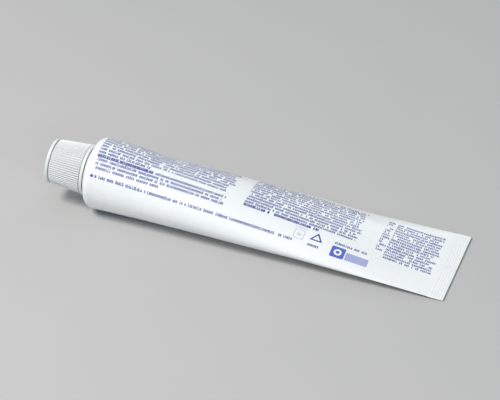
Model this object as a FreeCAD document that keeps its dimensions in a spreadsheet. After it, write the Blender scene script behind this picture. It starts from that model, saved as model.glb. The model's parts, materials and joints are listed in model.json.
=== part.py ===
import FreeCAD, Part
import os
import Sketcher
from FreeCAD import Placement, Rotation, Vector

# A screw-capped laminate squeeze tube of shaving cream, lying on its side.
# Every piece is drawn upright about its own neck axis (local +Z points out of the
# nozzle, local X is the flat way of the tube, local Y its wide way; z = 0 is where
# the shoulder edge starts to curve) and is then laid down by its Placement.

SIZES = [
    # sleeve, a film tube that is round at the shoulder and pressed flat at the tail
    ("tube_radius", 17.5),
    ("film", 0.4),
    ("sleeve_length", 178.0),
    ("round_length", 2.5),        # stays round as far as the shoulder skirt reaches
    ("band_length", 7.0),
    ("band_half", 0.4),
    ("tail_half", 0.28),          # the folding film runs into the band at this half height
    ("rib_height", 0.12),
    ("rib_width", 0.55),
    ("rib_spacing", 1.25),
    ("belly", 0.9),               # fullness of the filled tube half way along
    ("fold_power", 1.535),        # keeps the girth constant from circle to flat
    ("sink", 0.1),                # flattening where the shoulder edge bears
    ("tail_clear", 0.02),
    ("crimp_start", 0.8),         # from the tail end to the first crimp line
    ("crimp_side", 1.5),          # from the ends of the crimp lines to the band's sides
    ("band_overlap", 2.0),        # how far the band reaches into the folding film
    # shoulder and neck moulding
    ("shoulder_edge", 4.0),
    ("shoulder_slope", 24.0),
    ("shoulder_wall", 1.2),
    ("overlap_radius", 14.6),
    ("skirt_length", 2.4),
    ("weld_gap", 0.02),
    ("neck_radius", 6.6),
    ("neck_bore", 4.6),
    ("neck_top", 22.16),
    ("orifice", 3.5),
    ("lip", 1.4),
    ("wrap_step", 0.15),          # gap between the film's end and the step it lies in
    ("lip_round", 0.3),
    ("root_round", 0.6),
    ("thread_lead", 3.2),
    ("thread_major", 7.4),
    ("thread_start", 11.6),
    ("thread_turns", 2.0),
    ("thread_root_width", 1.7),
    ("thread_crest_width", 0.7),
    ("thread_sink", 0.2),         # how deep a thread's root is set into its wall
    # inner parts
    ("insert_wall", 0.5),
    ("insert_rim", 13.2),
    ("collar_top", 12.5),
    ("foil_radius", 6.3),
    ("foil_film", 0.15),
    ("cream_gap", 0.15),
    ("cream_overlap", 1.2),       # how far the front of the fill reaches into its bulk
    ("cream_drop", 0.3),          # the fill ends this far under the lip
    # screw cap
    ("cap_gap", 0.35),
    ("cap_top", 25.2),
    ("cap_plate", 1.4),
    ("cap_wall", 1.3),
    ("bead_radius", 12.5),
    ("bead_height", 1.6),
    ("bead_round", 0.5),
    ("flute_low", 12.2),
    ("flute_high", 10.8),
    ("flute_cut", 0.42),
    ("flute_back", 0.08),         # the flutes' centre line stands this far off the wall
    ("groove_cut", 0.6),
    ("groove_side", 0.2),         # heights of a groove's steep side, floor and slope
    ("groove_floor", 0.3),
    ("groove_slope", 0.3),
    ("rim_radius", 11.0),
    ("rim_height", 1.3),
    ("rim_round", 0.5),
    ("dish_radius", 9.3),
    ("dish_depth", 0.3),
    ("gate_radius", 0.9),
    ("gate_draft", 0.15),
    ("gate_height", 0.2),
    ("skirt_bore", 7.6),
    ("skirt_wall", 1.2),
    ("skirt_base", 9.6),
    ("ridge_minor", 6.85),
    ("ridge_turns", 1.5),
    ("liner_radius", 7.5),
    ("liner_height", 1.2),
    ("liner_gap", 0.05),
]

DERIVED = [
    ("taper_length", "sleeve_length - band_length - round_length"),
    ("band_reach", "band_half + rib_height + tail_clear"),
    ("tilt", "atan((tube_radius - sink - band_reach) / (sleeve_length - round_length))"),
    ("rest_height", "(tube_radius - sink) * cos(tilt) + round_length * sin(tilt)"),
    ("cap_base", "shoulder_edge / cos(shoulder_slope) + cap_gap"
                 " - (bead_radius - tube_radius + shoulder_edge) * tan(shoulder_slope)"),
    ("flute_start", "cap_base + bead_height + groove_side + groove_floor / 2"),
    ("flute_end", "cap_top - rim_height - groove_side - groove_floor / 2"),
    ("centre_shift", "((sleeve_length - cap_top) * cos(tilt)"
                     " + (band_reach - rim_radius) * sin(tilt)) / 2"),
]

FLUTES = 64
CRIMPS = 5
BORE_END = 0.975              # where the hollow ends, as a share of the folding length
CREAM_SPAN = (0.004, 0.965)
BOX = (260, 90, 80)           # larger than the tube every way
BOX_BACK = 40
STATIONS = (0.0, 0.06, 0.15, 0.27, 0.4, 0.54, 0.68, 0.81, 0.92, 1.0)
LAID = ("placement(vector(-sizes.centre_shift; 0; sizes.rest_height);"
        " rotation(vector(0; 1; 0); sizes.tilt - 90deg))")


def make_sheet(doc):
    sheet = doc.addObject("Spreadsheet::Sheet", "sizes")
    for row, (alias, number) in enumerate(SIZES, 1):
        sheet.set("A%d" % row, alias)
        sheet.set("B%d" % row, str(number))
        sheet.setAlias("B%d" % row, alias)
    doc.recompute()
    for row, (alias, formula) in enumerate(DERIVED, len(SIZES) + 1):
        sheet.set("A%d" % row, alias)
        sheet.set("B%d" % row, "=" + formula)
        sheet.setAlias("B%d" % row, alias)
        doc.recompute()


def s(formula):
    """Formula with every size name looked up in the sheet."""
    names = {alias for alias, _ in SIZES} | {alias for alias, _ in DERIVED}
    out, word = "", ""
    for ch in formula + " ":
        if ch.isalnum() or ch == "_":
            word += ch
            continue
        out += ("sizes." + word if word in names else word) + ch
        word = ""
    return out.strip()


def cone(radius, depth="0"):
    """Height of the shoulder cone at a radius, taken a given depth under its face."""
    return ("((shoulder_edge - (%s)) / cos(shoulder_slope)"
            " - ((%s) - tube_radius + shoulder_edge) * tan(shoulder_slope))" % (depth, radius))


def bind(obj, **formulas):
    for name, formula in formulas.items():
        obj.setExpression(name.replace("__", "."), s(str(formula)))


def origin_part(body, role):
    return next(f for f in body.Origin.OriginFeatures if f.Role == role)


def new_body(doc, name):
    body = doc.addObject("PartDesign::Body", name)
    body.Label = name
    return body


def outline(body, name, corners):
    """Closed outline in the body's XZ plane; each corner is (radius, height)."""
    sketch = body.newObject("Sketcher::SketchObject", name)
    sketch.AttachmentSupport = [(origin_part(body, "XZ_Plane"), "")]
    sketch.MapMode = "FlatFace"
    spots = [tuple(float(sketch.evalExpression(s(c))) for c in corner) for corner in corners]
    count = len(spots)
    for i in range(count):
        a, b = spots[i], spots[(i + 1) % count]
        sketch.addGeometry(Part.LineSegment(Vector(a[0], a[1], 0), Vector(b[0], b[1], 0)), False)
    for i in range(count):
        sketch.addConstraint(Sketcher.Constraint("Coincident", i, 2, (i + 1) % count, 1))
    for i, corner in enumerate(corners):
        for kind, value, formula in zip(("DistanceX", "DistanceY"), spots[i], corner):
            index = sketch.addConstraint(Sketcher.Constraint(kind, -1, 1, i, 1, value))
            sketch.setExpression("Constraints[%d]" % index, s(formula))
    return sketch


def turned(body, name, corners):
    sketch = outline(body, name + "_outline", corners)
    body.Document.recompute()
    feature = body.newObject("PartDesign::Revolution", name)
    feature.Profile = sketch
    feature.ReferenceAxis = (sketch, ["V_Axis"])
    feature.Angle = 360
    body.Document.recompute()


def rounded(body, name, rings, radius):
    """Round the circular edges that lie at the given (radius, height) pairs."""
    base = body.Tip
    picked = []
    for ring in rings:
        r, z = (float(base.evalExpression(s(c))) for c in ring)
        for i, edge in enumerate(base.Shape.Edges, 1):
            curve = edge.Curve
            if (isinstance(curve, Part.Circle) and abs(curve.Radius - r) < 1e-3
                    and abs(curve.Center.z - z) < 1e-3 and abs(edge.Length - 6.2832 * r) < 0.01):
                picked.append("Edge%d" % i)
    fillet = body.newObject("PartDesign::Fillet", name)
    fillet.Base = (base, picked)
    bind(fillet, Radius=radius)
    body.Document.recompute()


def ridge(body, name, root, crest, start, turns):
    """A right-hand screw ridge of trapezoid section standing on the root radius."""
    sketch = outline(body, name + "_outline", [
        (root, start + " - thread_root_width / 2"),
        (crest, start + " - thread_crest_width / 2"),
        (crest, start + " + thread_crest_width / 2"),
        (root, start + " + thread_root_width / 2"),
    ])
    body.Document.recompute()
    helix = body.newObject("PartDesign::AdditiveHelix", name)
    helix.Profile = sketch
    helix.ReferenceAxis = (sketch, ["V_Axis"])
    helix.Mode = "pitch-turns-angle"
    bind(helix, Pitch="thread_lead", Turns=turns)
    helix.Angle = 0
    helix.Growth = 0
    helix.LeftHanded = False
    helix.Reversed = False
    body.Document.recompute()


def lay_down(obj):
    obj.setExpression("Placement", LAID)


def above_rest(doc, name, lift):
    """Everything more than the given lift above the surface the tube lies on."""
    box = doc.addObject("Part::Box", name)
    box.Length, box.Width, box.Height = BOX
    box.setExpression("Placement", s(
        "placement(vector(sink - tube_radius - %d * sin(tilt) + (%s) * cos(tilt); %d;"
        " %d * cos(tilt) - round_length + (%s) * sin(tilt));"
        " rotation(vector(0; 1; 0); 90deg - tilt))"
        % (BOX_BACK, lift, -BOX[1] // 2, BOX_BACK, lift)))
    return box


def flattening_loft(doc, name, inset, first, last):
    """Round-to-flat solid, set in from the outside of the sleeve by the inset."""
    rings = []
    for i, station in enumerate(STATIONS):
        u = first + (last - first) * station
        half = ("(tube_radius - (tube_radius - tail_half) * %.5f + 4 * belly * %.5f)"
                % (u, u * (1 - u)))
        kind = "Part::Ellipse" if u > 0 else "Part::Circle"
        ring = doc.addObject(kind, "%s_ring_%d" % (name, i))
        ring.Placement = Placement(Vector(0, 0, 0), Rotation(Vector(0, 0, 1), 90))
        bind(ring, Placement__Base__z="-round_length - taper_length * %.5f" % u)
        if u > 0:
            bind(ring, MinorRadius="%s - (%s)" % (half, inset),
                 MajorRadius="pow((pi / 2 * tube_radius)^fold_power - %s^fold_power;"
                             " 1 / fold_power) - (%s)" % (half, inset))
        else:
            bind(ring, Radius="tube_radius - (%s)" % inset)
        rings.append(ring)
    doc.recompute()
    loft = doc.addObject("Part::Loft", name)
    loft.Sections = rings
    loft.Solid = True
    loft.Ruled = False
    return loft


def boolean(doc, kind, name, base, tool):
    result = doc.addObject("Part::" + kind, name)
    result.Base = base
    result.Tool = tool
    return result


def make_front_wrap(doc):
    """Leading end of the film, folded over the rounded edge of the shoulder."""
    body = new_body(doc, "front_wrap")
    turned(body, "wrap", [
        ("tube_radius", "-round_length"),
        ("tube_radius", cone("tube_radius")),
        ("overlap_radius", cone("overlap_radius")),
        ("overlap_radius - film * sin(shoulder_slope)",
         cone("overlap_radius - film * sin(shoulder_slope)", "film")),
        ("tube_radius - film", cone("tube_radius - film", "film")),
        ("tube_radius - film", "-round_length"),
    ])
    rounded(body, "outer_edge", [("tube_radius", cone("tube_radius"))], "shoulder_edge")
    rounded(body, "inner_edge", [("tube_radius - film", cone("tube_radius - film", "film"))],
            "shoulder_edge - film")
    return body


def make_tail_band(doc):
    """Heat-sealed tail, pressed flat with raised crimp lines on both faces."""
    band = doc.addObject("Part::Box", "band")
    bind(band, Length="2 * band_half", Width="pi * tube_radius", Height="band_length + band_overlap",
         Placement__Base__x="-band_half", Placement__Base__y="-pi * tube_radius / 2",
         Placement__Base__z="-sleeve_length")
    parts = [band]
    for i in range(CRIMPS):
        crimp = doc.addObject("Part::Box", "crimp_%d" % i)
        bind(crimp, Length="2 * (band_half + rib_height)", Width="pi * tube_radius - 2 * crimp_side",
             Height="rib_width", Placement__Base__x="-band_half - rib_height",
             Placement__Base__y="crimp_side - pi * tube_radius / 2",
             Placement__Base__z="crimp_start - sleeve_length + %d * rib_spacing" % i)
        parts.append(crimp)
    return parts


def make_tube_sleeve(doc):
    hollow = boolean(doc, "Common", "hollow", flattening_loft(doc, "bore", "film", 0.0, BORE_END),
                     above_rest(doc, "bore_rest", "film"))
    shell = boolean(doc, "Cut", "shell", flattening_loft(doc, "full", "0", 0.0, 1.0), hollow)
    web = doc.addObject("Part::MultiFuse", "web")
    web.Shapes = [shell, make_front_wrap(doc)] + make_tail_band(doc)
    web.Refine = False
    sleeve = boolean(doc, "Common", "tube_sleeve", web, above_rest(doc, "rest", "0"))
    sleeve.Label = "tube_sleeve"
    sleeve.Refine = False
    lay_down(sleeve)
    return sleeve


def make_shoulder_head(doc):
    body = new_body(doc, "shoulder_head")
    under = "film + weld_gap"
    inner = "film + weld_gap + shoulder_wall"
    wall = "tube_radius - film - weld_gap - shoulder_wall"
    step = "overlap_radius - wrap_step"
    step_foot = step + " - film * sin(shoulder_slope)"
    turned(body, "head", [
        ("tube_radius - film - weld_gap", "-skirt_length"),
        ("tube_radius - film - weld_gap", cone("tube_radius - film - weld_gap", under)),
        (step_foot, cone(step_foot, under)),
        (step, cone(step)),
        ("neck_radius", cone("neck_radius")),
        ("neck_radius", "neck_top"),
        ("orifice", "neck_top"),
        ("orifice", "neck_top - lip"),
        ("neck_bore", "neck_top - lip"),
        ("neck_bore", cone("neck_bore", inner)),
        (wall, cone(wall, inner)),
        (wall, "-skirt_length"),
    ])
    rounded(body, "edge", [("tube_radius - film - weld_gap",
                            cone("tube_radius - film - weld_gap", under))],
            "shoulder_edge - film - weld_gap")
    rounded(body, "inner_edge", [(wall, cone(wall, inner))],
            "shoulder_edge - film - weld_gap - shoulder_wall")
    rounded(body, "lip_edge", [("neck_radius", "neck_top")], "lip_round")
    rounded(body, "neck_root", [("neck_radius", cone("neck_radius"))], "root_round")
    ridge(body, "thread", "neck_radius - thread_sink", "thread_major", "thread_start",
          "thread_turns")
    lay_down(body)
    return body


def make_barrier_insert(doc):
    """Thin lining under the shoulder cone with a short collar up the bore."""
    body = new_body(doc, "barrier_insert")
    top = "film + shoulder_wall + 3 * weld_gap"
    low = top + " + insert_wall"
    collar = "neck_bore - 2 * weld_gap"
    turned(body, "insert", [
        ("insert_rim", cone("insert_rim", top)),
        (collar, cone(collar, top)),
        (collar, "collar_top"),
        (collar + " - insert_wall", "collar_top"),
        (collar + " - insert_wall", cone(collar + " - insert_wall", low)),
        ("insert_rim", cone("insert_rim", low)),
    ])
    lay_down(body)
    return body


def make_foil_seal(doc):
    """Peel-off membrane on the lip with its half-moon pull tab folded back on top."""
    disc = doc.addObject("Part::Cylinder", "membrane")
    bind(disc, Radius="foil_radius", Height="foil_film",
         Placement__Base__z="neck_top + weld_gap")
    tab = doc.addObject("Part::Cylinder", "pull_tab")
    tab.Angle = 180
    tab.Placement = Placement(Vector(0, 0, 0), Rotation(Vector(0, 0, 1), 90))
    bind(tab, Radius="foil_radius", Height="foil_film",
         Placement__Base__z="neck_top + weld_gap + foil_film")
    foil = boolean(doc, "Fuse", "foil_seal", disc, tab)
    foil.Label = "foil_seal"
    foil.Refine = False
    lay_down(foil)
    return foil


def make_cream(doc):
    inset = "film + cream_gap"
    bulk = boolean(doc, "Common", "bulk", flattening_loft(doc, "fill", inset, *CREAM_SPAN),
                   above_rest(doc, "fill_rest", inset))
    front = new_body(doc, "front_fill")
    under = "film + shoulder_wall + weld_gap + cream_gap"
    below = "film + shoulder_wall + 3 * weld_gap + insert_wall + cream_gap"
    wide = "tube_radius - film - weld_gap - shoulder_wall - cream_gap"
    channel = "neck_bore - 2 * weld_gap - insert_wall - cream_gap"
    turned(front, "fill_front", [
        ("0", "-round_length - cream_overlap"),
        (wide, "-round_length - cream_overlap"),
        (wide, "0"),
        ("insert_rim + cream_gap", cone("insert_rim + cream_gap", under)),
        ("insert_rim + cream_gap", cone("insert_rim + cream_gap", below)),
        (channel, cone(channel, below)),
        (channel, "collar_top + cream_gap"),
        ("neck_bore - cream_gap", "collar_top + cream_gap"),
        ("neck_bore - cream_gap", "neck_top - lip - cream_gap"),
        ("orifice - cream_gap", "neck_top - lip - cream_gap"),
        ("orifice - cream_gap", "neck_top - cream_drop"),
        ("0", "neck_top - cream_drop"),
    ])
    cream = boolean(doc, "Fuse", "cream", bulk, front)
    cream.Label = "cream"
    cream.Refine = False
    lay_down(cream)
    return cream


def make_cap(doc):
    """Tapered screw cap with a bead round its base, a fluted wall and a rimmed top."""
    body = new_body(doc, "cap")
    bead_top = "cap_base + bead_height"
    rim_base = "cap_top - rim_height"
    dish_floor = "cap_top - dish_depth"
    under_plate = "cap_top - cap_plate"
    turned(body, "shell", [
        ("bead_radius - cap_wall", "cap_base + cap_wall * tan(shoulder_slope)"),
        ("bead_radius", "cap_base"),
        ("bead_radius", bead_top),
        ("flute_low - groove_cut", bead_top + " + groove_side"),
        ("flute_low - groove_cut", bead_top + " + groove_side + groove_floor"),
        ("flute_low", bead_top + " + groove_side + groove_floor + groove_slope"),
        ("flute_high", rim_base + " - groove_side - groove_floor - groove_slope"),
        ("flute_high - groove_cut", rim_base + " - groove_side - groove_floor"),
        ("flute_high - groove_cut", rim_base + " - groove_side"),
        ("rim_radius", rim_base),
        ("rim_radius", "cap_top"),
        ("dish_radius", "cap_top"),
        ("dish_radius - dish_depth", dish_floor),
        ("gate_radius", dish_floor),
        ("gate_radius - gate_draft", dish_floor + " + gate_height"),
        ("0", dish_floor + " + gate_height"),
        ("0", under_plate),
        ("skirt_bore", under_plate),
        ("skirt_bore", "skirt_base"),
        ("skirt_bore + skirt_wall", "skirt_base"),
        ("skirt_bore + skirt_wall", under_plate),
        ("flute_high - cap_wall", under_plate),
    ])
    rounded(body, "bead_edges", [("bead_radius", "cap_base"), ("bead_radius", bead_top)],
            "bead_round")
    rounded(body, "rim_edges", [("rim_radius", "cap_top")], "rim_round")
    ridge(body, "ridge", "skirt_bore + thread_sink", "ridge_minor",
          "thread_start + thread_lead / 2", "ridge_turns")

    flute = body.newObject("PartDesign::SubtractiveCylinder", "flute")
    bind(flute, Radius="flute_cut + flute_back", Height="flute_end - flute_start")
    flute.setExpression("Placement", s(
        "placement(vector(flute_low + flute_back; 0; flute_start); rotation(vector(0; 1; 0);"
        " atan((flute_high - flute_low) / (flute_end - flute_start))))"))
    body.Document.recompute()
    flutes = body.newObject("PartDesign::PolarPattern", "flutes")
    flutes.Originals = [flute]
    flutes.Axis = (origin_part(body, "Z_Axis"), [""])
    flutes.Angle = 360
    flutes.Occurrences = FLUTES
    body.Tip = flutes
    body.Document.recompute()
    lay_down(body)
    return body


def make_cap_liner(doc):
    liner = doc.addObject("Part::Cylinder", "cap_liner")
    liner.Label = "cap_liner"
    bind(liner, Radius="liner_radius", Height="liner_height")
    liner.setExpression("Placement", s(
        "placement(vector(-centre_shift - (cap_top - cap_plate - liner_gap - liner_height)"
        " * cos(tilt); 0; rest_height + (cap_top - cap_plate - liner_gap - liner_height)"
        " * sin(tilt)); rotation(vector(0; 1; 0); tilt - 90deg))"))
    return liner


def main():
    doc = FreeCAD.newDocument("squeeze_tube")
    make_sheet(doc)
    parts = [make(doc) for make in (
        make_tube_sleeve, make_shoulder_head, make_barrier_insert, make_foil_seal,
        make_cream, make_cap, make_cap_liner)]
    doc.recompute()
    for obj in doc.Objects:
        if "Invalid" in obj.State or "Error" in obj.State:
            raise RuntimeError("%s did not build: %s" % (obj.Name, obj.State))
    for part in parts:
        if part.Shape.isNull() or not part.Shape.isValid() or len(part.Shape.Solids) != 1:
            raise RuntimeError("%s is not one valid solid" % part.Label)
    os.makedirs("parts", exist_ok=True)
    for part in parts:
        part.Shape.exportStep("parts/%s.step" % part.Label)
        box = part.Shape.BoundBox
        print("%-16s volume %9.1f  x %7.2f %7.2f  y %7.2f %7.2f  z %6.2f %6.2f" % (
            part.Label, part.Shape.Volume, box.XMin, box.XMax, box.YMin, box.YMax,
            box.ZMin, box.ZMax))


main()
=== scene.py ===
import json
import math

import bpy
import numpy as np
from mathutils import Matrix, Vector, noise


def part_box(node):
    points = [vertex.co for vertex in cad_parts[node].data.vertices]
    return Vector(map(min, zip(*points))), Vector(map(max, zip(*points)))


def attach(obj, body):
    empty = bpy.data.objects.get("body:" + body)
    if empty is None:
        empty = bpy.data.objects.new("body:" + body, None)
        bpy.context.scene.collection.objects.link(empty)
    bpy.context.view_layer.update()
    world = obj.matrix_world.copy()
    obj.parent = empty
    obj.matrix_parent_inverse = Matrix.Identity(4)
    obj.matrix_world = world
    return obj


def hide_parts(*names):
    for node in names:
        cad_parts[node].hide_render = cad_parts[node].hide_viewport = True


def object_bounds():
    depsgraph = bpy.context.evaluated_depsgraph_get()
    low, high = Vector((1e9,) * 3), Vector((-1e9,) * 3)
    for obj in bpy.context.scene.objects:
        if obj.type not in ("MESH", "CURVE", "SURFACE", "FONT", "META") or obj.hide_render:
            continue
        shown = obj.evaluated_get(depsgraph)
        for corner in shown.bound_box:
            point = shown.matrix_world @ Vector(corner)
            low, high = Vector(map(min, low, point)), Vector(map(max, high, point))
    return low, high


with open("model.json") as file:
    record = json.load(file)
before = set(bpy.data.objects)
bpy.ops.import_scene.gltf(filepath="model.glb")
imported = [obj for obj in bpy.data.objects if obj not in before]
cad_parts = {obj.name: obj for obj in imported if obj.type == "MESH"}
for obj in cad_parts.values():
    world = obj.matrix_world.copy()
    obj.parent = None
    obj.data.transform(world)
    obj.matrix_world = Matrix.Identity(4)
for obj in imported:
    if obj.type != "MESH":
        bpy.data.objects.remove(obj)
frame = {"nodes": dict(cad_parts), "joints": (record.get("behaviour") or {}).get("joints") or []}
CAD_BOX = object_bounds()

# The looks of a screw-capped laminate squeeze tube. The tube's lengths are in millimetres,
# and MM turns them into the scene's metres. The floor, lights and camera are in metres.
MM = 0.001

# The tube's own axes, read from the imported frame: OUT points out of the nozzle, SIDE is
# the wide way of the flat tail, UP is square to both. z = 0 is where the shoulder curves.
TURN = next(j for j in frame["joints"] if j["name"] == "cap_turn")
NECK_POINT = 14.0
OUT = Vector(TURN["axis"]).normalized()
SIDE = Vector((0, 1, 0))
UP = SIDE.cross(OUT)
START = Vector(TURN["pos_m"]) - OUT * NECK_POINT * MM

SLEEVE_LOW, SLEEVE_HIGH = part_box("tube_sleeve")
GIRTH = 2 * (SLEEVE_HIGH.y - SLEEVE_LOW.y) / MM
RADIUS = GIRTH / math.tau
FILM = 0.4
CRIMP_HEIGHT = 0.12
CRIMP_WIDTH = 0.55
CRIMP_PITCH = 1.25
CRIMP_START = 0.8   # from the tail's end to the first crimp
CRIMP_BLUR = 0.27
CRIMPS = 5
TAIL = ((SLEEVE_HIGH.x - START.x) / MM - (FILM + CRIMP_HEIGHT) * UP.x) / -OUT.x
BAND = 7.0          # length of the sealed tail
ROUND = 2.5         # the sleeve stays round this far past the shoulder
SHY = 0.01          # the film is kept this far inside its CAD outline
EDGE = 4.0          # radius of the shoulder's edge
SLOPE = math.radians(24)
WRAP_RADIUS = 14.6  # the film's front end, folded over the shoulder
TAIL_HALF = 0.28    # half thickness the fold runs down to; FILM stops it a little sooner
BELLY = 0.9
FOLD_POWER = math.log(2) / math.log(math.pi / 2)
FOLD_END = TAIL - BAND

# The cream's outline in the nozzle, neck and shoulder, as (height, radius) from the nozzle
# inwards. CREAM_GAP is left inside the bore and inside the film.
NECK_BORE = 4.6
CREAM_GAP = 0.15
CREAM_PLUG = (
    (21.8, 0.5), (21.8, 3.3), (20.65, 3.3), (20.6, NECK_BORE - CREAM_GAP),
    (12.7, NECK_BORE - CREAM_GAP), (12.65, 3.9), (6.6, 3.9), (2.2, 13.2), (0.0, 15.7),
    (-3.6, 15.7),
)

# The cap's fluted wall is a cone: its radius at z = 0 and how fast it narrows. The painted shade
# in the cap's grooves is measured from this cone.
WALL_RADIUS = 12.884
WALL_TAPER = 0.0903

# The printed film is laid out flat: u runs from the shoulder to the tail and t runs round
# the girth from the top centre line, towards -Y. The film's UV map is this flat sheet.
UV_LONG = 220.0
UV_WIDE = 120.0
UV_START = 15.0

# The back panel's rows of small print: where the first row runs, how far apart they are,
# and each stretch as (left u, right u, first row, last row). The print is turned round the
# tube from the top centre line, so its own t is PRINT_TURN less.
PRINT_TURN = 3.05
ROW_FIRST = -22.16
ROW_PITCH = 2.12
FINE_LINES = (
    (0.4, 67.0, 0, 11), (0.4, 27.0, 12, 12), (30.0, 67.0, 13, 13), (0.9, 67.0, 14, 15),
    (0.9, 36.0, 16, 16), (2.2, 104.0, 18, 18), (109.8, 117.0, 18, 18), (121.5, 138.5, 15, 15),
    (74.5, 131.0, 0, 12), (139.4, 143.4, 0, 12), (144.0, 168.0, 0, 14),
)
STRONG_LINES = ((0.4, 29.0, 13, 13), (74.5, 112.0, 13, 13))


def place(x, y, z):
    return START + (UP * x + SIDE * y + OUT * z) * MM


# ---------------------------------------------------------------- node helpers

class Field:
    """A number that varies over the surface, built from Math nodes by plain arithmetic."""

    def __init__(self, tree, socket):
        self.tree = tree
        self.socket = socket

    def math(self, operation, *others):
        node = self.tree.nodes.new("ShaderNodeMath")
        node.operation = operation
        for slot, value in zip(node.inputs, (self,) + others):
            if isinstance(value, Field):
                self.tree.links.new(value.socket, slot)
            else:
                slot.default_value = value
        return Field(self.tree, node.outputs[0])

    def __add__(self, other):
        return self.math("ADD", other)

    def __sub__(self, other):
        return self.math("SUBTRACT", other)

    def __mul__(self, other):
        return self.math("MULTIPLY", other)

    def __truediv__(self, other):
        return self.math("DIVIDE", other)

    def floor(self):
        return self.math("FLOOR")

    def part(self):
        return self.math("FRACT")

    def size(self):
        return self.math("ABSOLUTE")

    def over(self, other):
        return self.math("GREATER_THAN", other)

    def under(self, other):
        return self.math("LESS_THAN", other)

    def most(self, other):
        return self.math("MAXIMUM", other)

    def span(self, low, high):
        return self.over(low) * self.under(high)

    def invert(self):
        return (self * -1.0) + 1.0

    def spread(self, low, high, to_low, to_high):
        """Maps low..high smoothly onto to_low..to_high."""
        node = self.tree.nodes.new("ShaderNodeMapRange")
        node.interpolation_type = "SMOOTHSTEP"
        for name, value in (("From Min", low), ("From Max", high),
                            ("To Min", to_low), ("To Max", to_high)):
            node.inputs[name].default_value = value
        self.tree.links.new(self.socket, node.inputs["Value"])
        return Field(self.tree, node.outputs["Result"])


def link(tree, value, socket):
    if isinstance(value, Field):
        value = value.socket
    tree.links.new(value, socket)


def combine(tree, *parts):
    node = tree.nodes.new("ShaderNodeCombineXYZ")
    for slot, part in zip(node.inputs, parts):
        if isinstance(part, Field):
            link(tree, part, slot)
        else:
            slot.default_value = part
    return node.outputs[0]


def white(tree, *parts):
    """A random number for each cell that the parts number."""
    node = tree.nodes.new("ShaderNodeTexWhiteNoise")
    link(tree, combine(tree, *parts), node.inputs["Vector"])
    return Field(tree, node.outputs["Value"])


def grain(tree, where, scale, detail=2.0, rough=0.5):
    node = tree.nodes.new("ShaderNodeTexNoise")
    node.inputs["Scale"].default_value = scale
    node.inputs["Detail"].default_value = detail
    node.inputs["Roughness"].default_value = rough
    link(tree, where, node.inputs["Vector"])
    return Field(tree, node.outputs["Fac"])


def mix(tree, amount, under, over):
    """Colour that goes from under to over; each is a colour or a socket."""
    node = tree.nodes.new("ShaderNodeMix")
    node.data_type = "RGBA"
    link(tree, amount, node.inputs[0])
    for value, slot in ((under, node.inputs[6]), (over, node.inputs[7])):
        if isinstance(value, tuple):
            slot.default_value = (*value, 1.0)
        else:
            link(tree, value, slot)
    return node.outputs[2]


def bump(tree, height, distance, strength=1.0, onto=None):
    node = tree.nodes.new("ShaderNodeBump")
    node.inputs["Strength"].default_value = strength
    node.inputs["Distance"].default_value = distance * MM
    link(tree, height, node.inputs["Height"])
    if onto:
        link(tree, onto, node.inputs["Normal"])
    return node.outputs[0]


def new_material(name, **sockets):
    """A Principled material with plain values set on the shader's own sockets."""
    material = bpy.data.materials.new(name)
    material.use_nodes = True
    tree = material.node_tree
    shader = tree.nodes["Principled BSDF"]
    for socket, value in sockets.items():
        shader.inputs[socket.replace("_", " ")].default_value = value
    return material, tree, shader


def object_place(tree):
    """Where the surface point is, in millimetres."""
    node = tree.nodes.new("ShaderNodeTexCoord")
    scale = tree.nodes.new("ShaderNodeVectorMath")
    scale.operation = "SCALE"
    scale.inputs["Scale"].default_value = 1 / MM
    link(tree, node.outputs["Object"], scale.inputs[0])
    return scale.outputs[0]


# ---------------------------------------------------------------- the print

def marks(tree, u, t, height, weight, seed):
    """Rows of small upright marks in place of words, with no letters in them.

    Gives the ink and the row number, from rows that keep to the print's common grid.
    """
    row = (t - ROW_FIRST) / ROW_PITCH + 0.5
    number = row.floor()
    across = (row.part() - 0.5) * ROW_PITCH
    column = u / (height * 0.62) + white(tree, number, seed, 7.7) * 40.0
    mark = column.floor()
    along = column.part()
    form = white(tree, mark, number, seed)
    stem = white(tree, mark, number, seed + 31.0)
    top = form.over(0.72) * (height * 0.26) + height * 0.5
    body = (across + top).over(0.0) * across.under(height * 0.5)
    legs = (along - (stem * 0.3 + 0.22)).size().under(0.2 * weight)
    legs = legs.most((along - 0.78).size().under(0.15 * weight) * form.under(0.8))
    bar = (across - (form - 0.5) * (height * 0.9)).size().under(height * 0.15 * weight)
    bar = bar * (along - 0.49).size().under(0.39)
    return stem.over(0.12) * body * legs.most(bar), number


def lay_out(u, number, ragged, lines):
    """1 where the text lines lie; each is (left, right, first row, last row)."""
    mask = None
    for left, right, first, last in lines:
        middle, half = (first + last) / 2, (last - first) / 2 + 0.5
        line = (u.over(left) * (u + ragged).under(right)
                * (number - middle).size().under(half))
        mask = line if mask is None else mask.most(line)
    return mask


def block(u, t, centre, size):
    """1 inside an upright rectangle."""
    return ((u - centre[0]).size().under(size[0] / 2)
            * (t - centre[1]).size().under(size[1] / 2))


def soft_block(u, t, centre, size, corner):
    """1 inside a rectangle with rounded corners."""
    far_u = ((u - centre[0]).size() - (size[0] / 2 - corner)).most(0.0)
    far_t = ((t - centre[1]).size() - (size[1] / 2 - corner)).most(0.0)
    return (far_u * far_u + far_t * far_t).under(corner * corner)


def disc(u, t, centre, radius):
    du, dt = u - centre[0], t - centre[1]
    return (du * du + dt * dt).under(radius * radius)


def triangle(u, t, centre, radius):
    """1 inside a triangle that stands on its flat side."""
    du, dt = u - centre[0], t - centre[1]
    sides = dt.under(radius * 0.5)
    for way in (1.0, -1.0):
        sides = sides * (du * (way * math.cos(math.radians(30))) - dt * 0.5).under(radius * 0.5)
    return sides


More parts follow.
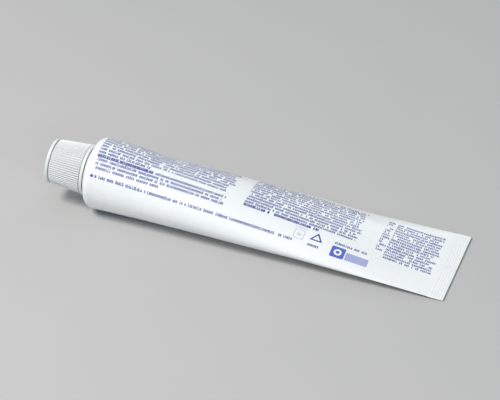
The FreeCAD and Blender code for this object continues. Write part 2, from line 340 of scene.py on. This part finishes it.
def fine_print(tree, u, t):
    """The small print of the back panel, as amounts of fine and of strong ink."""
    ink, number = marks(tree, u, t, 1.4, 1.0, 11.0)
    ragged = white(tree, number, 5.5, (u / 70.0).floor()) * 3.0
    fine = ink * lay_out(u, number, ragged, FINE_LINES)
    ink, number = marks(tree, u, t, 1.75, 1.3, 31.0)
    strong = ink * lay_out(u, number, 0.0, STRONG_LINES)
    strong = strong.most(disc(u, t, (0.8, 16.0), 0.75))
    return fine, strong


SIGN_AT = (113.0, 11.0)
TILE_AT = (124.5, 15.0)
STRIPES_AT = (133.9, 15.8)
JAR_AT = (104.5, 11.8)
JAR_LID_AT = (104.5, 7.6)
JAR_DOT_AT = (104.5, 12.0)


def pictograms(u, t):
    """Plain pictograms by the print, as amounts of line, solid and pale ink."""
    sign = triangle(u, t, SIGN_AT, 3.6) * triangle(u, t, SIGN_AT, 2.1).invert()
    tile = soft_block(u, t, TILE_AT, (6.8, 6.8), 0.8)
    hole = disc(u, t, TILE_AT, 1.9) * disc(u, t, TILE_AT, 0.9).invert()
    tile = tile * hole.invert()
    stripes = (u / 0.9).part().under(0.62) * block(u, t, STRIPES_AT, (11.2, 4.8))
    jar = soft_block(u, t, JAR_AT, (5.4, 6.0), 1.2)
    jar = jar * soft_block(u, t, JAR_AT, (4.2, 4.8), 0.8).invert()
    jar = jar.most(block(u, t, JAR_LID_AT, (6.2, 0.8)))
    return sign, tile.most(stripes), jar.most(disc(u, t, JAR_DOT_AT, 1.1))


def front_panel(u, t):
    """A plain colour band and a blank label on the panel that lies face down."""
    half_girth, band_reach, edge_line = 55.0, 9.5, 10.9
    from_middle = t.size() * -1.0 + half_girth
    wavy = from_middle + (u * 0.045).math("SINE") * 1.6
    label = soft_block(u, from_middle, (58.0, 0.0), (62.0, 9.0), 4.5)
    return wavy.under(band_reach), (wavy - edge_line).size().under(0.45), label


FINE_INK = (0.03, 0.055, 0.30)
STRONG_INK = (0.02, 0.04, 0.30)
TILE_INK = (0.05, 0.10, 0.50)
PALE_INK = (0.50, 0.50, 0.62)
EYE_MARK_INK = (0.035, 0.065, 0.34)
BAND_BLUE = (0.12, 0.30, 0.58)
BAND_EDGE = (0.28, 0.62, 0.72)


def film_material():
    material, tree, shader = new_material(
        "printed_laminate", Roughness=0.3, Coat_Weight=0.35, Coat_Roughness=0.16,
        Specular_IOR_Level=0.45, Subsurface_Weight=0.0)
    uv = tree.nodes.new("ShaderNodeUVMap")
    uv.uv_map = "film"
    parts = tree.nodes.new("ShaderNodeSeparateXYZ")
    link(tree, uv.outputs[0], parts.inputs[0])
    u = Field(tree, parts.outputs[0]) * UV_LONG - UV_START
    t = Field(tree, parts.outputs[1]) * UV_WIDE - UV_WIDE / 2
    sheet = combine(tree, u, t, 0.0)

    tone = grain(tree, sheet, 0.03, 3.0).spread(0.3, 0.7, 0.0, 1.0)
    colour = mix(tree, tone, (0.84, 0.877, 0.897), (0.872, 0.9, 0.91))
    band, edge, label = front_panel(u, t)
    printed = u.span(1.5, FOLD_END - 3.0)
    colour = mix(tree, band * printed, colour, BAND_BLUE)
    colour = mix(tree, edge * printed, colour, BAND_EDGE)
    colour = mix(tree, label, colour, (0.86, 0.88, 0.9))
    turned = t - PRINT_TURN
    fine, strong = fine_print(tree, u, turned)
    line, tile, jar = pictograms(u, turned)
    colour = mix(tree, fine * 0.95, colour, FINE_INK)
    colour = mix(tree, strong.most(line) * 0.96, colour, STRONG_INK)
    colour = mix(tree, tile * 0.95, colour, TILE_INK)
    colour = mix(tree, jar * 0.55, colour, PALE_INK)
    mark = block(u, t, (FOLD_END - 3.2, 33.0), (3.4, 8.0))
    colour = mix(tree, mark, colour, EYE_MARK_INK)
    link(tree, colour, shader.inputs["Base Color"])

    cloud = grain(tree, sheet, 0.09, 4.0)
    link(tree, cloud.spread(0.3, 0.75, 0.24, 0.38), shader.inputs["Roughness"])
    peel = grain(tree, sheet, 1.1, 2.0)
    fine_grain = grain(tree, sheet, 4.5, 2.0)
    waves = bump(tree, peel, 0.06, 0.35)
    link(tree, bump(tree, fine_grain, 0.015, 0.3, waves), shader.inputs["Normal"])
    return material


# ---------------------------------------------------------------- other materials

def neck_radius(tree, where):
    """Distance from the neck axis, and the height along it, of a place in millimetres."""
    offset = tree.nodes.new("ShaderNodeVectorMath")
    offset.operation = "SUBTRACT"
    offset.inputs[1].default_value = START / MM
    link(tree, where, offset.inputs[0])
    along = tree.nodes.new("ShaderNodeVectorMath")
    along.operation = "DOT_PRODUCT"
    along.inputs[1].default_value = OUT
    link(tree, offset.outputs[0], along.inputs[0])
    length = tree.nodes.new("ShaderNodeVectorMath")
    length.operation = "LENGTH"
    link(tree, offset.outputs[0], length.inputs[0])
    height = Field(tree, along.outputs["Value"])
    far = Field(tree, length.outputs["Value"])
    return (far * far - height * height).math("SQRT"), height


def cap_material():
    material, tree, shader = new_material(
        "cap_polypropylene", Roughness=0.36, Specular_IOR_Level=0.5, Subsurface_Weight=0.12,
        Subsurface_Scale=0.0012)
    shader.inputs["Subsurface Radius"].default_value = (1.0, 0.95, 0.9)
    where = object_place(tree)
    cloud = grain(tree, where, 0.16, 3.0)
    plain = mix(tree, cloud.spread(0.3, 0.7, 0.0, 1.0), (0.76, 0.785, 0.79),
                (0.80, 0.82, 0.822))
    # Painted shade: the grooves between the flutes are coloured darker grey, found from how deep
    # the surface lies inside the fluted wall's cone.
    radius, height = neck_radius(tree, where)
    depth = height * -WALL_TAPER + WALL_RADIUS - radius
    painted_groove_shade = depth.spread(0.06, 0.42, 0.0, 1.0) * depth.spread(0.7, 0.9, 1.0, 0.0)
    link(tree, mix(tree, painted_groove_shade * 0.6, plain, (0.34, 0.365, 0.38)),
         shader.inputs["Base Color"])
    link(tree, grain(tree, where, 0.8, 4.0).spread(0.3, 0.7, 0.3, 0.44),
         shader.inputs["Roughness"])
    link(tree, bump(tree, grain(tree, where, 7.0, 2.0), 0.02, 0.35), shader.inputs["Normal"])
    return material


def shoulder_material():
    material, tree, shader = new_material(
        "shoulder_polyethylene", Roughness=0.42, Subsurface_Weight=0.2, Subsurface_Scale=0.0015)
    shader.inputs["Subsurface Radius"].default_value = (1.0, 0.97, 0.92)
    where = object_place(tree)
    cloud = grain(tree, where, 0.25, 3.0)
    link(tree, mix(tree, cloud.spread(0.3, 0.7, 0.0, 1.0), (0.80, 0.82, 0.82),
                   (0.85, 0.865, 0.86)), shader.inputs["Base Color"])
    link(tree, grain(tree, where, 1.2, 3.0).spread(0.3, 0.7, 0.34, 0.5),
         shader.inputs["Roughness"])
    link(tree, bump(tree, grain(tree, where, 5.0, 2.0), 0.025, 0.4), shader.inputs["Normal"])
    return material


def foil_material():
    material, tree, shader = new_material("peel_foil", Roughness=0.3, Metallic=1.0)
    where = object_place(tree)
    wrinkle = grain(tree, where, 0.9, 4.0, 0.6)
    link(tree, mix(tree, wrinkle.spread(0.35, 0.65, 0.0, 1.0), (0.72, 0.73, 0.75),
                   (0.82, 0.83, 0.84)), shader.inputs["Base Color"])
    link(tree, wrinkle.spread(0.3, 0.7, 0.24, 0.42), shader.inputs["Roughness"])
    link(tree, bump(tree, wrinkle, 0.12, 0.5), shader.inputs["Normal"])
    return material


def foam_material():
    material, tree, shader = new_material("liner_foam", Roughness=0.75, Subsurface_Weight=0.1,
                                          Subsurface_Scale=0.001)
    where = object_place(tree)
    cells = tree.nodes.new("ShaderNodeTexVoronoi")
    cells.inputs["Scale"].default_value = 3.2
    link(tree, where, cells.inputs["Vector"])
    depth = Field(tree, cells.outputs["Distance"])
    link(tree, mix(tree, depth.spread(0.0, 0.6, 0.0, 1.0), (0.74, 0.74, 0.71),
                   (0.88, 0.88, 0.85)), shader.inputs["Base Color"])
    link(tree, bump(tree, depth, 0.12, 0.6), shader.inputs["Normal"])
    return material


def insert_material():
    material, tree, shader = new_material("insert_laminate", Roughness=0.45)
    where = object_place(tree)
    cloud = grain(tree, where, 0.5, 3.0)
    link(tree, mix(tree, cloud, (0.62, 0.66, 0.70), (0.74, 0.77, 0.79)),
         shader.inputs["Base Color"])
    link(tree, bump(tree, grain(tree, where, 3.0, 2.0), 0.03, 0.4), shader.inputs["Normal"])
    return material


def cream_material():
    material, tree, shader = new_material(
        "soft_cream", Roughness=0.38, Subsurface_Weight=0.5, Subsurface_Scale=0.002)
    where = object_place(tree)
    swirl = grain(tree, where, 0.35, 4.0)
    link(tree, mix(tree, swirl, (0.86, 0.88, 0.89), (0.93, 0.94, 0.94)),
         shader.inputs["Base Color"])
    link(tree, bump(tree, swirl, 0.25, 0.4), shader.inputs["Normal"])
    return material


def floor_material():
    material, tree, shader = new_material("floor_paper", Roughness=0.7)
    where = object_place(tree)
    link(tree, mix(tree, grain(tree, where, 0.02, 2.0), (0.49, 0.49, 0.485),
                   (0.51, 0.51, 0.505)), shader.inputs["Base Color"])
    return material


# ---------------------------------------------------------------- the sleeve

AROUND = 288        # points round each section
ALONG = 170         # sections between the shoulder and the tail band
CIRCLE = 2.0        # squareness of a round or elliptical section
BAND_SQUARE = 14.0  # squareness of the flat tail band
BAND_SHY = 0.04     # the band's half width is kept this much under a quarter of the girth
SQUARING = 22       # length before the band over which the section grows squarer


def half_height(z):
    """Half the thickness of the tube at z, from round at the shoulder to flat at the tail."""
    if z >= -ROUND:
        return RADIUS
    share = min((-z - ROUND) / (FOLD_END - ROUND), 1.0)
    return max(RADIUS - (RADIUS - TAIL_HALF) * share + 4 * BELLY * share * (1 - share), FILM)


def half_width(height):
    """Half the width that keeps the film's girth the same at that half thickness."""
    if height >= RADIUS:
        return height
    return ((GIRTH / 4) ** FOLD_POWER - height ** FOLD_POWER) ** (1 / FOLD_POWER)


def crimp(z):
    """Height of the crimp lines pressed across the tail band."""
    height = 0.0
    for i in range(CRIMPS):
        away = (z + TAIL - CRIMP_START - CRIMP_WIDTH / 2 - CRIMP_PITCH * i) / CRIMP_BLUR
        height = max(height, CRIMP_HEIGHT * math.exp(-away ** 4))
    return height


def even_ring(wide, high, square, count):
    """(x, y) points evenly spaced round the section, from the bottom by way of +Y."""
    turn = np.linspace(0, math.tau, 4097)
    c, s = -np.cos(turn), np.sin(turn)
    x = high * np.sign(c) * np.abs(c) ** (2 / square)
    y = wide * np.sign(s) * np.abs(s) ** (2 / square)
    steps = np.hypot(np.diff(x), np.diff(y))
    length = np.concatenate(([0.0], np.cumsum(steps)))
    want = np.linspace(0, length[-1], count + 1)
    return np.interp(want, length, x), np.interp(want, length, y)


def sleeve_stations():
    """(u, z, half width, half height, squareness) from the wrapped front end to the tail."""
    stations = []
    cone_run = (WRAP_RADIUS - (RADIUS - EDGE + EDGE * math.sin(SLOPE))) / -math.cos(SLOPE)
    arc = EDGE * (math.pi / 2 - SLOPE)
    for i in range(5):
        back = cone_run * (1 - i / 4)
        radius = RADIUS - EDGE + EDGE * math.sin(SLOPE) - back * math.cos(SLOPE)
        height = EDGE * math.cos(SLOPE) + back * math.sin(SLOPE)
        stations.append((-arc - back, height, radius, radius, CIRCLE))
    for i in range(1, 17):
        angle = (math.pi / 2 - SLOPE) * (1 - i / 16)
        radius = RADIUS - EDGE + EDGE * math.cos(angle)
        stations.append((-EDGE * angle, EDGE * math.sin(angle), radius, radius, CIRCLE))
    body = list(np.arange(-0.8, -ROUND, -0.8)) + list(np.linspace(-ROUND, -TAIL + BAND, ALONG))
    for z in body:
        high = half_height(z)
        near = min(max((-z - (FOLD_END - SQUARING)) / SQUARING, 0.0), 1.0)
        stations.append((-z, z, half_width(high), high, CIRCLE + 1.6 * near ** 3))
    for z in np.linspace(-TAIL + BAND - 0.25, -TAIL, 64):
        high = FILM + crimp(z)
        stations.append((-z, z, GIRTH / 4 - BAND_SHY, high, BAND_SQUARE))
    return stations


def dent(u, t):
    """How far the film has sunk in at a place on the sheet, from handling and filling."""
    grow = min(max(u / 25, 0.0), 1.0) * min(max((FOLD_END - u) / 12, 0.0), 1.0)
    if grow == 0.0:
        return 0.0
    hollow = 0.75 * math.exp(-((u - 31) / 11) ** 2 - ((t + 9) / 12) ** 2)
    hollow += 0.5 * math.exp(-((u - 96) / 20) ** 2 - ((t - 24) / 7) ** 2)
    hollow += 0.45 * math.exp(-((u - 128) / 16) ** 2 - ((t + 25) / 7) ** 2)
    broad = 0.5 + 0.5 * noise.noise(Vector((u / 34, t / 15, 4.2)))
    tail_share = min(max((u - 95) / 60, 0.0), 1.0)
    folds = 0.5 + 0.5 * noise.noise(Vector((u / 42, t / 5.5, 9.1)))
    return grow * (hollow + 0.35 * broad + 0.42 * tail_share * folds)


def seam(t):
    """The lap seam, one edge of the film laid over the other, low on the far side."""
    middle, half, blur, step = -38.0, 1.6, 0.25, 0.08
    edge = (abs(t - middle) - half) / blur
    return step / (1 + math.exp(min(max(edge, -30.0), 30.0)))


# A point keeps at least this share of its distance from the section's middle plane, so that
# the outer skin and the lining stay apart where the film folds flat.
LEAST_OUTER = 0.3
LEAST_INNER = 0.12


def ring_points(station, inset, count=AROUND):
    """Places round one section, moved in from the film's outside by the inset."""
    u, z, wide, high, square = station
    xs, ys = even_ring(wide, high, square, count)
    points = []
    for i in range(count):
        x, y = xs[i], ys[i]
        t = (i / count - 0.5) * GIRTH
        nx, ny = x / high ** 2, y / wide ** 2
        size = math.hypot(nx, ny) or 1.0
        move = -inset - dent(u, t) - SHY
        if 0.5 < u < FOLD_END and inset == 0.0:
            move += seam(t)
        share = 1 + abs(nx) / size * move / max(abs(x), 1e-6)
        x *= max(share, LEAST_OUTER if inset == 0.0 else LEAST_INNER)
        y += ny / size * move
        spot = place(x, y, z)
        spot.z = max(spot.z, inset * MM)
        points.append(spot)
    return points


def make_sleeve():
    outer = sleeve_stations()
    inner = [s for s in outer if s[0] < FOLD_END - 3.0][::4]
    count = AROUND
    rings = [ring_points(s, 0.0) for s in outer]
    lining = [ring_points(s, FILM) for s in inner]
    verts = [p for ring in rings + lining for p in ring]
    start_in = len(rings) * count
    faces, sheet = [], []

    def spot(u, i):
        return ((u + UV_START) / UV_LONG,
                ((i / count - 0.5) * GIRTH + UV_WIDE / 2) / UV_WIDE)

    for k in range(len(rings) - 1):
        for i in range(count):
            j = (i + 1) % count
            faces.append((k * count + i, k * count + j, (k + 1) * count + j, (k + 1) * count + i))
            sheet.append((spot(outer[k][0], i), spot(outer[k][0], i + 1),
                          spot(outer[k + 1][0], i + 1), spot(outer[k + 1][0], i)))
    for k in range(len(lining) - 1):
        a = start_in + k * count
        for i in range(count):
            j = (i + 1) % count
            faces.append((a + i, a + count + i, a + count + j, a + j))
            sheet.append(((0.01, 0.01),) * 4)
    for i in range(count):
        j = (i + 1) % count
        faces.append((i, start_in + i, start_in + j, j))
        sheet.append((spot(outer[0][0], i), spot(outer[0][0] - FILM, i),
                      spot(outer[0][0] - FILM, i + 1), spot(outer[0][0], i + 1)))
    ends = flat_end((len(rings) - 1) * count, count, True)
    ends += flat_end(start_in + (len(lining) - 1) * count, count, False)
    faces += ends
    sheet += [(spot(TAIL, 0),) * len(face) for face in ends]

    mesh = bpy.data.meshes.new("printed_sleeve")
    mesh.from_pydata(verts, [], faces)
    layer = mesh.uv_layers.new(name="film")
    layer.data.foreach_set("uv", [c for face in sheet for pair in face for c in pair])
    mesh.shade_smooth()
    mesh.validate()
    obj = bpy.data.objects.new("printed_sleeve", mesh)
    bpy.context.scene.collection.objects.link(obj)
    mesh.materials.append(film_material())
    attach(obj, "tube")
    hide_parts("tube_sleeve")


def flat_end(first, count, turned):
    """Faces that close a ring of points that is the same on both sides of its middle."""
    faces = []
    for i in range(count // 2):
        quad = [first + i, first + (count - i) % count, first + count - i - 1, first + i + 1]
        quad = list(dict.fromkeys(quad))
        if len(quad) > 2:
            faces.append(tuple(reversed(quad)) if turned else tuple(quad))
    return faces


def make_cream():
    """The fill: a plug in the neck, then the film's own shape just inside it."""
    count = 96
    undented = -10.0
    rings = [ring_points((undented, z, r, r, CIRCLE), 0.0, count) for z, r in CREAM_PLUG]
    plug_end, fold_clearance = 3.7, 5.0
    rings += [ring_points(s, FILM + CREAM_GAP, count) for s in sleeve_stations()[24::3]
              if plug_end < s[0] < FOLD_END - fold_clearance]
    faces = flat_end(0, count, False)
    for k in range(len(rings) - 1):
        for i in range(count):
            j = (i + 1) % count
            a, b = k * count, (k + 1) * count
            faces.append((a + i, a + j, b + j, b + i))
    faces += flat_end((len(rings) - 1) * count, count, True)
    mesh = bpy.data.meshes.new("cream_fill")
    mesh.from_pydata([p for ring in rings for p in ring], [], faces)
    mesh.shade_smooth()
    obj = bpy.data.objects.new("cream_fill", mesh)
    bpy.context.scene.collection.objects.link(obj)
    mesh.materials.append(cream_material())
    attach(obj, "tube")
    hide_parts("cream")


# ---------------------------------------------------------------- carried-over nodes

def finish_node(node, material):
    obj = frame["nodes"][node]
    obj.data.materials.clear()
    obj.data.materials.append(material)


# ---------------------------------------------------------------- stage, light, camera

def make_floor():
    mesh = bpy.data.meshes.new("floor")
    half = 4.0
    mesh.from_pydata([(-half, -half, 0), (half, -half, 0), (half, half, 0), (-half, half, 0)],
                     [], [(0, 1, 2, 3)])
    obj = bpy.data.objects.new("floor", mesh)
    bpy.context.scene.collection.objects.link(obj)
    mesh.materials.append(floor_material())


def area_light(name, direction, distance, size, power, colour):
    data = bpy.data.lights.new(name, "AREA")
    data.shape = "DISK"
    data.size = size
    data.energy = power
    data.color = colour
    obj = bpy.data.objects.new(name, data)
    obj.location = Vector(direction).normalized() * distance
    obj.rotation_mode = "QUATERNION"
    obj.rotation_quaternion = obj.location.to_track_quat("Z", "Y")
    bpy.context.scene.collection.objects.link(obj)


def make_lights():
    world = bpy.data.worlds.new("studio")
    bpy.context.scene.world = world
    world.use_nodes = True
    world.node_tree.nodes["Background"].inputs["Color"].default_value = (0.93, 0.96, 1.0, 1.0)
    world.node_tree.nodes["Background"].inputs["Strength"].default_value = 0.46
    area_light("key", (-0.6, -0.45, 1.0), 1.2, 0.45, 10.5, (1.0, 0.985, 0.96))
    area_light("fill", (0.7, -1.0, 0.6), 1.3, 0.8, 2.5, (0.95, 0.98, 1.0))
    area_light("back", (0.2, 1.0, 0.5), 1.2, 0.5, 0.8, (1.0, 1.0, 1.0))


def make_camera():
    azimuth, elevation, distance = math.radians(18.6), math.radians(32.5), 1.05
    low, high = CAD_BOX
    back = Vector((math.sin(azimuth) * math.cos(elevation),
                   -math.cos(azimuth) * math.cos(elevation), math.sin(elevation)))
    data = bpy.data.cameras.new("camera")
    data.sensor_width = 36.0
    data.lens = 160.0
    data.clip_start = 0.01
    data.clip_end = 20.0
    obj = bpy.data.objects.new("camera", data)
    obj.location = (low + high) / 2 + back * distance
    obj.rotation_mode = "QUATERNION"
    obj.rotation_quaternion = (-back).to_track_quat("-Z", "Y")
    bpy.context.scene.collection.objects.link(obj)
    bpy.context.scene.camera = obj


make_sleeve()
make_cream()
finish_node("shoulder_head", shoulder_material())
finish_node("barrier_insert", insert_material())
finish_node("foil_seal", foil_material())
finish_node("cap", cap_material())
finish_node("cap_liner", foam_material())
make_floor()
make_lights()
make_camera()
bpy.context.scene.view_settings.view_transform = "Standard"
